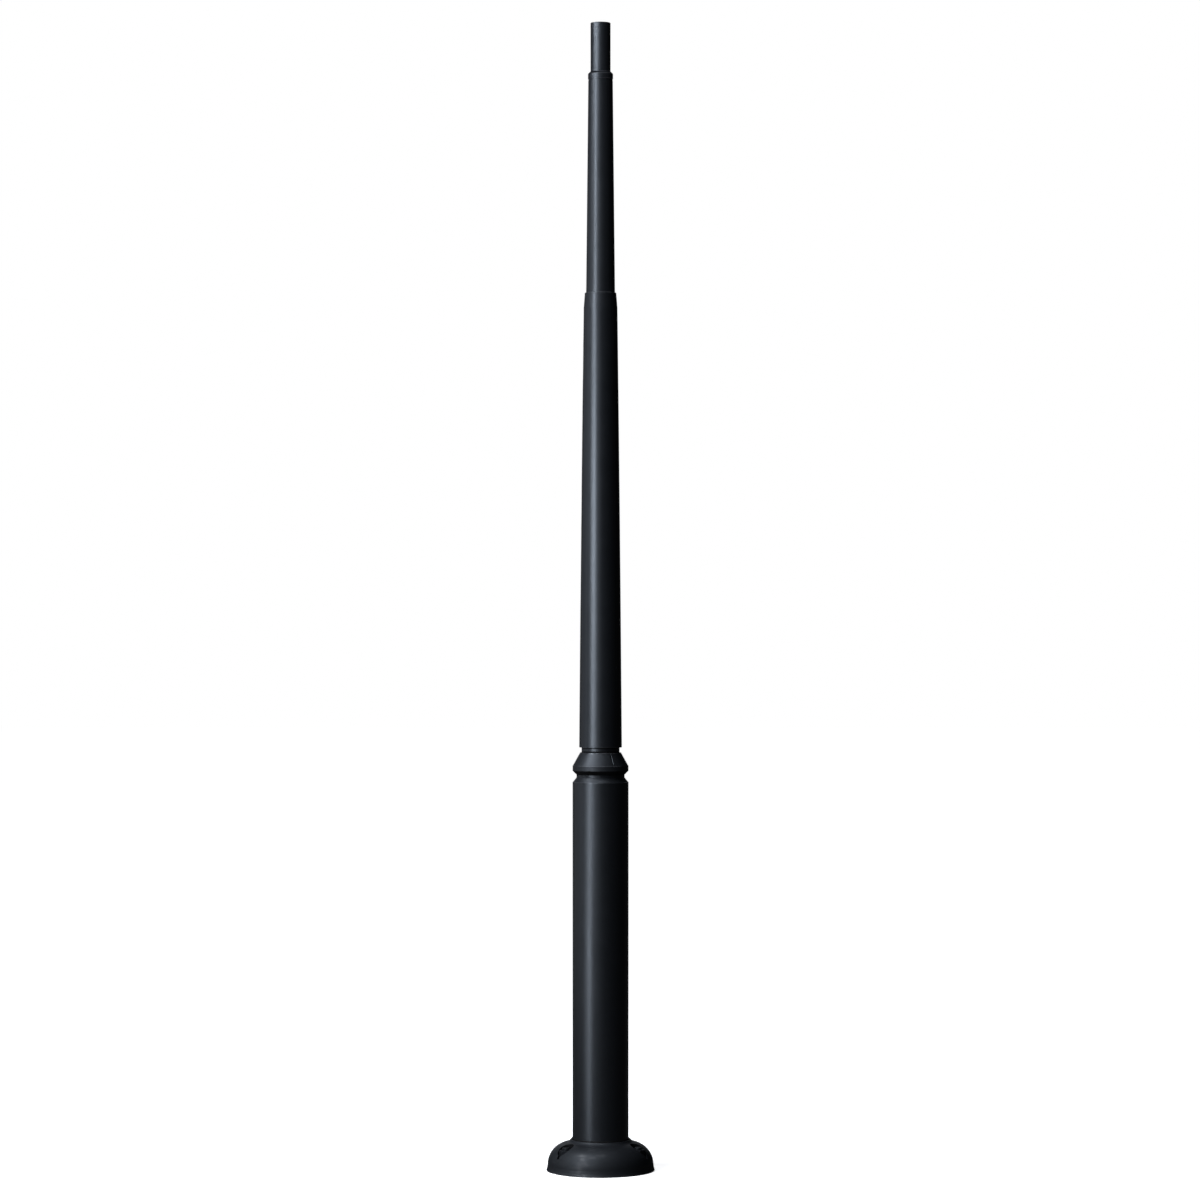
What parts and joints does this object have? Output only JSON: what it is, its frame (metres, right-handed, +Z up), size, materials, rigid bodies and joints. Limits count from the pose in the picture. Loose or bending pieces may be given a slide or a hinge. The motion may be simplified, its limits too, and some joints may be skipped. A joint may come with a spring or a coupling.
{
  "type": "stepped lamp post without a lantern",
  "caption": "Stepped round lamp post: domed cast shoe with bolt wells, straight lower shaft, split collar over a V groove, tapered middle and upper shafts, and a spigot for a lantern.",
  "frame": {"origin": "centre of the base plate's underside, which is the centre of the anchor bolt circle", "axes": "+Z up along the post's axis; -Y is the side with no door; the service door and one bolt well face +Y, turned 4 degrees towards -X"},
  "size_m": [0.3254, 0.3254, 3.45],
  "materials": {
    "coating": "satin",
    "seal": "matte",
    "lock": "satin"
  },
  "bodies": {
    "root": {"base_plate": "coating", "base_shoe": "coating", "neck_seal": "seal", "lower_shaft": "coating", "door_frame": "coating", "door_leaf": "coating", "door_lock": "lock", "shoulder": "coating", "collar_front": "coating", "collar_back": "coating", "neck_tube": "coating", "foot_ring": "coating", "mid_shaft": "coating", "upper_shaft": "coating", "adapter": "coating", "spigot": "coating"}
  },
  "joints": []
}
